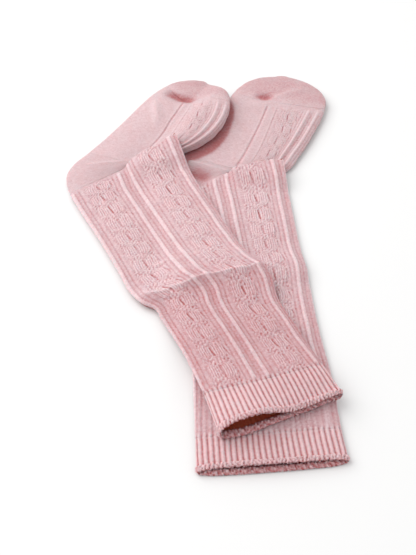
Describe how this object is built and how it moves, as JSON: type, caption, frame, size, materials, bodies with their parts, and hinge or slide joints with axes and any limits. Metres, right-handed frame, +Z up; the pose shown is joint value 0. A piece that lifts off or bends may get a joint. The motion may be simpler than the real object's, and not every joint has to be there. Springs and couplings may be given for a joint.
{
  "type": "pair of knee-high socks",
  "caption": "Pink cable-knit knee-high socks laid flat in profile, one crossing the other, with ribbed cuffs, turned heels and closed toes.",
  "frame": {"origin": "on the surface that the pair lies on, under the middle of the pair's box", "axes": "+Z up from the surface, +Y from the cuffs towards the toes, +X towards the front of the legs"},
  "size_m": [0.1938, 0.3596, 0.0206],
  "materials": {
    "rib_knit": "pink ribbed cotton-blend knit, matt",
    "cable_knit": "pink cable-patterned cotton-blend knit, matt",
    "plain_knit": "pink plain cotton-blend knit, matt"
  },
  "bodies": {
    "root": {"far_sock_cuff": "rib_knit", "far_sock_leg": "cable_knit", "far_sock_heel": "plain_knit", "far_sock_foot": "plain_knit", "far_sock_toe": "plain_knit", "near_sock_cuff": "rib_knit", "near_sock_leg": "cable_knit", "near_sock_heel": "plain_knit", "near_sock_foot": "plain_knit", "near_sock_toe": "plain_knit"}
  },
  "joints": []
}
